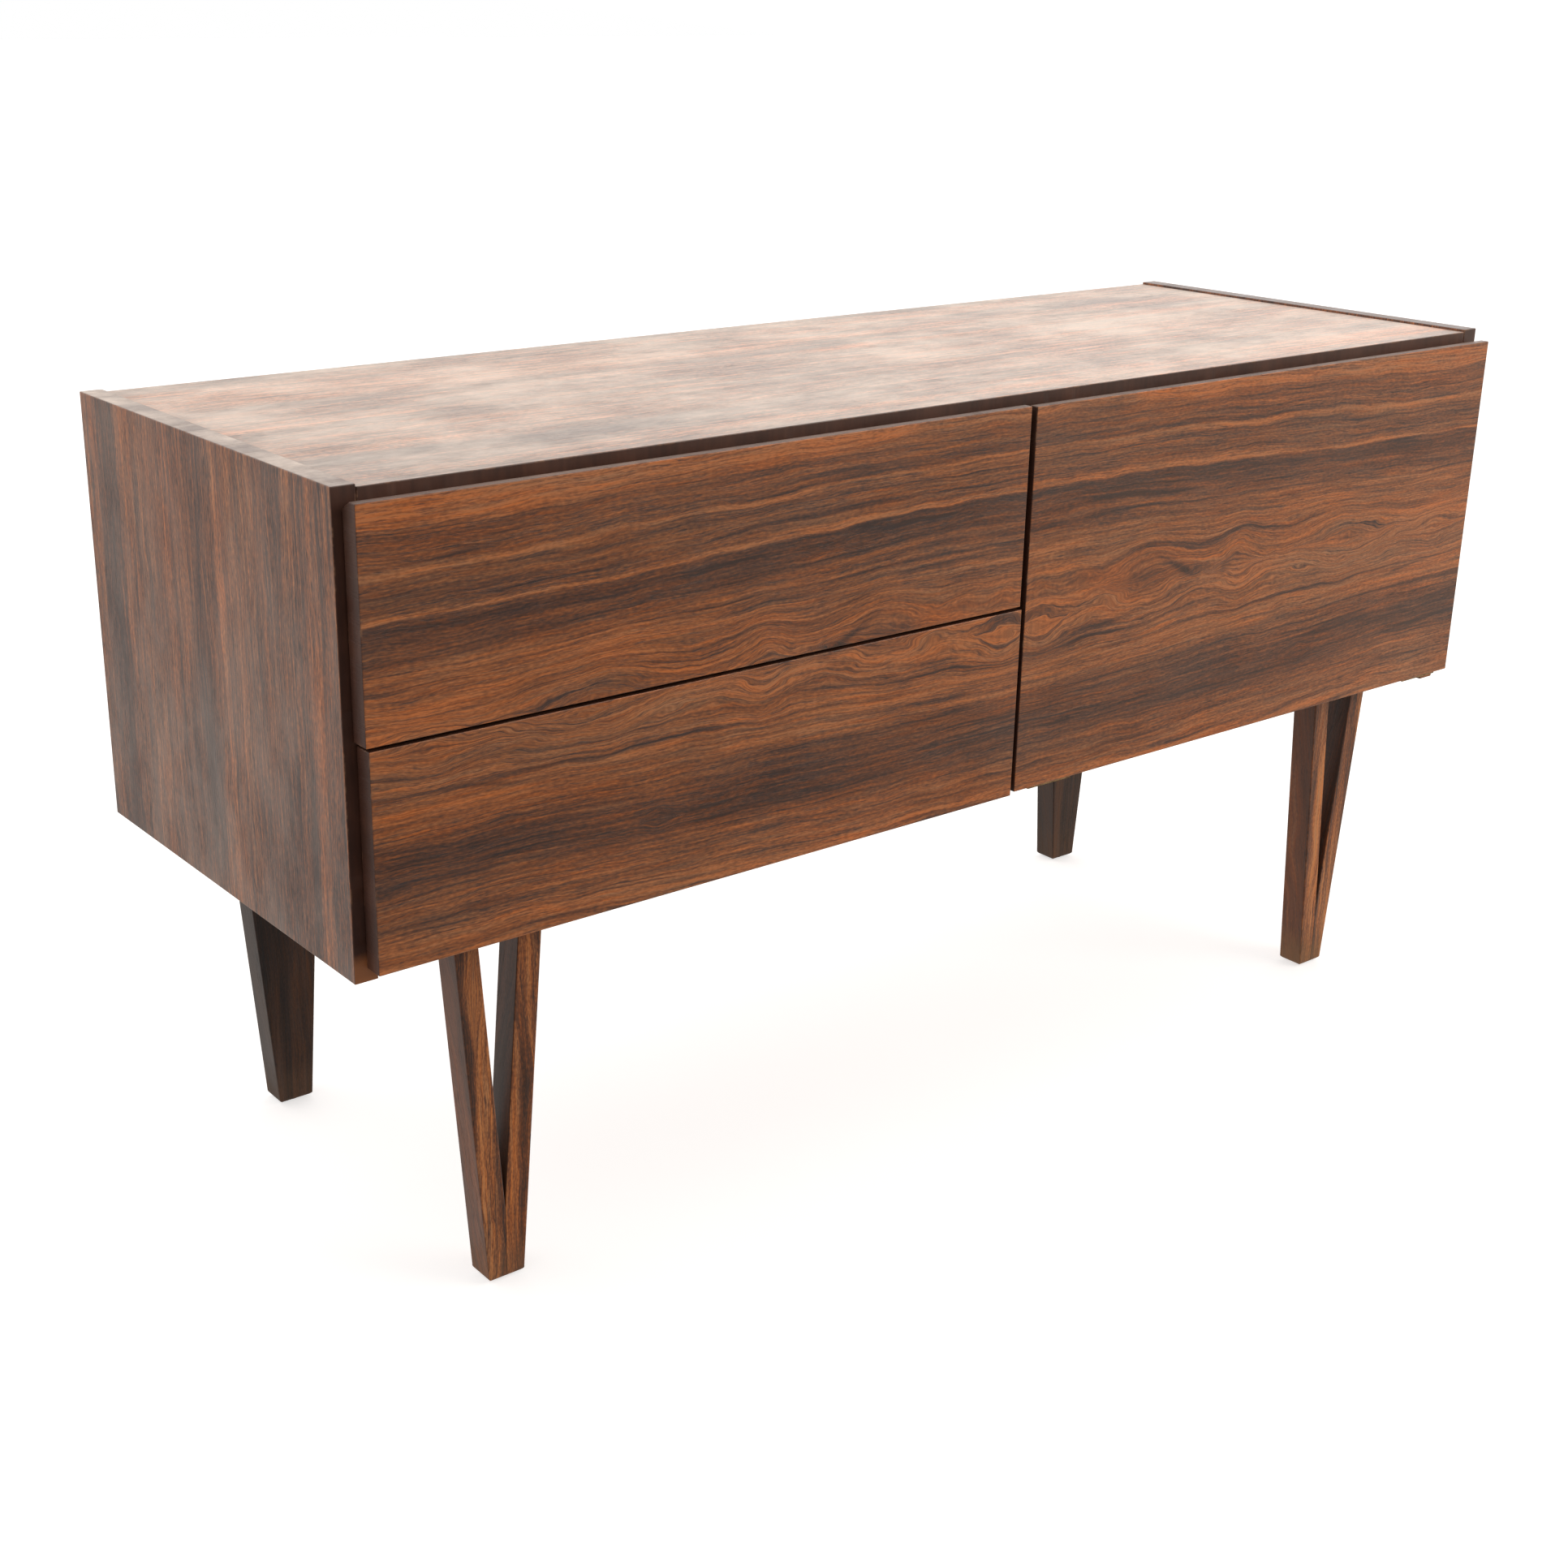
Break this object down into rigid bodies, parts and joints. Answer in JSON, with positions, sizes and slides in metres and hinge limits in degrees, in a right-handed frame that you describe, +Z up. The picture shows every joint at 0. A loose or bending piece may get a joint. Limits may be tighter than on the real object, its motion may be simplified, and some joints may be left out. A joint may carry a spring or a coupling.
{
  "type": "television cabinet",
  "caption": "Long low rosewood television cabinet on tapered legs, V-shaped at the front, with two stacked handleless drawers beside a drop-down flap.",
  "frame": {"origin": "on the floor, under the middle of the cabinet's outline, fronts included", "axes": "+X to the right as seen by someone facing the fronts, +Z up, fronts facing -Y"},
  "size_m": [1.2, 0.4178, 0.628],
  "materials": {
    "rosewood": "satin lacquered figured veneer",
    "beech": "matt clear-coated hardwood",
    "plywood": "matt stained plywood",
    "brass": "satin",
    "steel": "zinc-plated satin",
    "dark_plastic": "matt moulded"
  },
  "bodies": {
    "case": {"side_panel_left": "rosewood", "side_panel_right": "rosewood", "top_panel": "rosewood", "bottom_panel": "rosewood", "centre_divider": "rosewood", "back_panel": "plywood", "back_screw_lower_left": "steel", "back_screw_lower_middle": "steel", "back_screw_lower_right": "steel", "back_screw_upper_left": "steel", "back_screw_upper_middle": "steel", "back_screw_upper_right": "steel", "front_leg_left_outer_arm": "rosewood", "front_leg_left_inner_arm": "rosewood", "front_leg_right_outer_arm": "rosewood", "front_leg_right_inner_arm": "rosewood", "back_leg_left": "rosewood", "back_leg_right": "rosewood", "leg_plate_front_left": "steel", "leg_plate_front_right": "steel", "leg_plate_back_left": "steel", "leg_plate_back_right": "steel", "glide_front_left": "dark_plastic", "glide_front_right": "dark_plastic", "glide_back_left": "dark_plastic", "glide_back_right": "dark_plastic", "upper_drawer_runner_left": "beech", "upper_drawer_runner_right": "beech", "lower_drawer_runner_left": "beech", "lower_drawer_runner_right": "beech", "hinge_left_case_leaf": "brass", "hinge_left_pin": "brass", "hinge_right_case_leaf": "brass", "hinge_right_pin": "brass", "catch_body": "dark_plastic", "stay_axle_plate": "brass"},
    "upper_drawer": {"upper_drawer_front": "rosewood", "upper_drawer_box_front": "beech", "upper_drawer_side_left": "beech", "upper_drawer_side_right": "beech", "upper_drawer_back": "beech", "upper_drawer_bottom": "plywood"},
    "lower_drawer": {"lower_drawer_front": "rosewood", "lower_drawer_box_front": "beech", "lower_drawer_side_left": "beech", "lower_drawer_side_right": "beech", "lower_drawer_back": "beech", "lower_drawer_bottom": "plywood"},
    "flap": {"flap_panel": "rosewood", "hinge_left_flap_leaf": "brass", "hinge_right_flap_leaf": "brass", "stay_bracket": "brass", "stay_pin": "brass", "catch_strike": "steel"},
    "stay_rod": {"stay_rod": "brass"},
    "stay_block": {"stay_block": "brass"}
  },
  "joints": [
    {"name": "upper_drawer_slide", "type": "slide", "parent": "case", "child": "upper_drawer", "axis": [0, -1, 0], "range_m": [0, 0.26]},
    {"name": "lower_drawer_slide", "type": "slide", "parent": "case", "child": "lower_drawer", "axis": [0, -1, 0], "range_m": [0, 0.26]},
    {"name": "flap_hinge", "type": "hinge", "parent": "case", "child": "flap", "pos_m": [0.2995, -0.1947, 0.2953], "axis": [1, 0, 0], "range_deg": [0, 90]},
    {"name": "stay_rod_pivot", "type": "hinge", "parent": "flap", "child": "stay_rod", "pos_m": [0.569, -0.18183, 0.45528], "axis": [1, 0, 0], "range_deg": [-45, 0]},
    {"name": "stay_block_swivel", "type": "hinge", "parent": "case", "child": "stay_block", "pos_m": [0.569, -0.13981, 0.44612], "axis": [1, 0, 0], "range_deg": [0, 45]}
  ],
  "couplings": [
    {"joint": "stay_rod_pivot", "follows": "flap_hinge", "ratio": -0.5},
    {"joint": "stay_block_swivel", "follows": "flap_hinge", "ratio": 0.5}
  ]
}
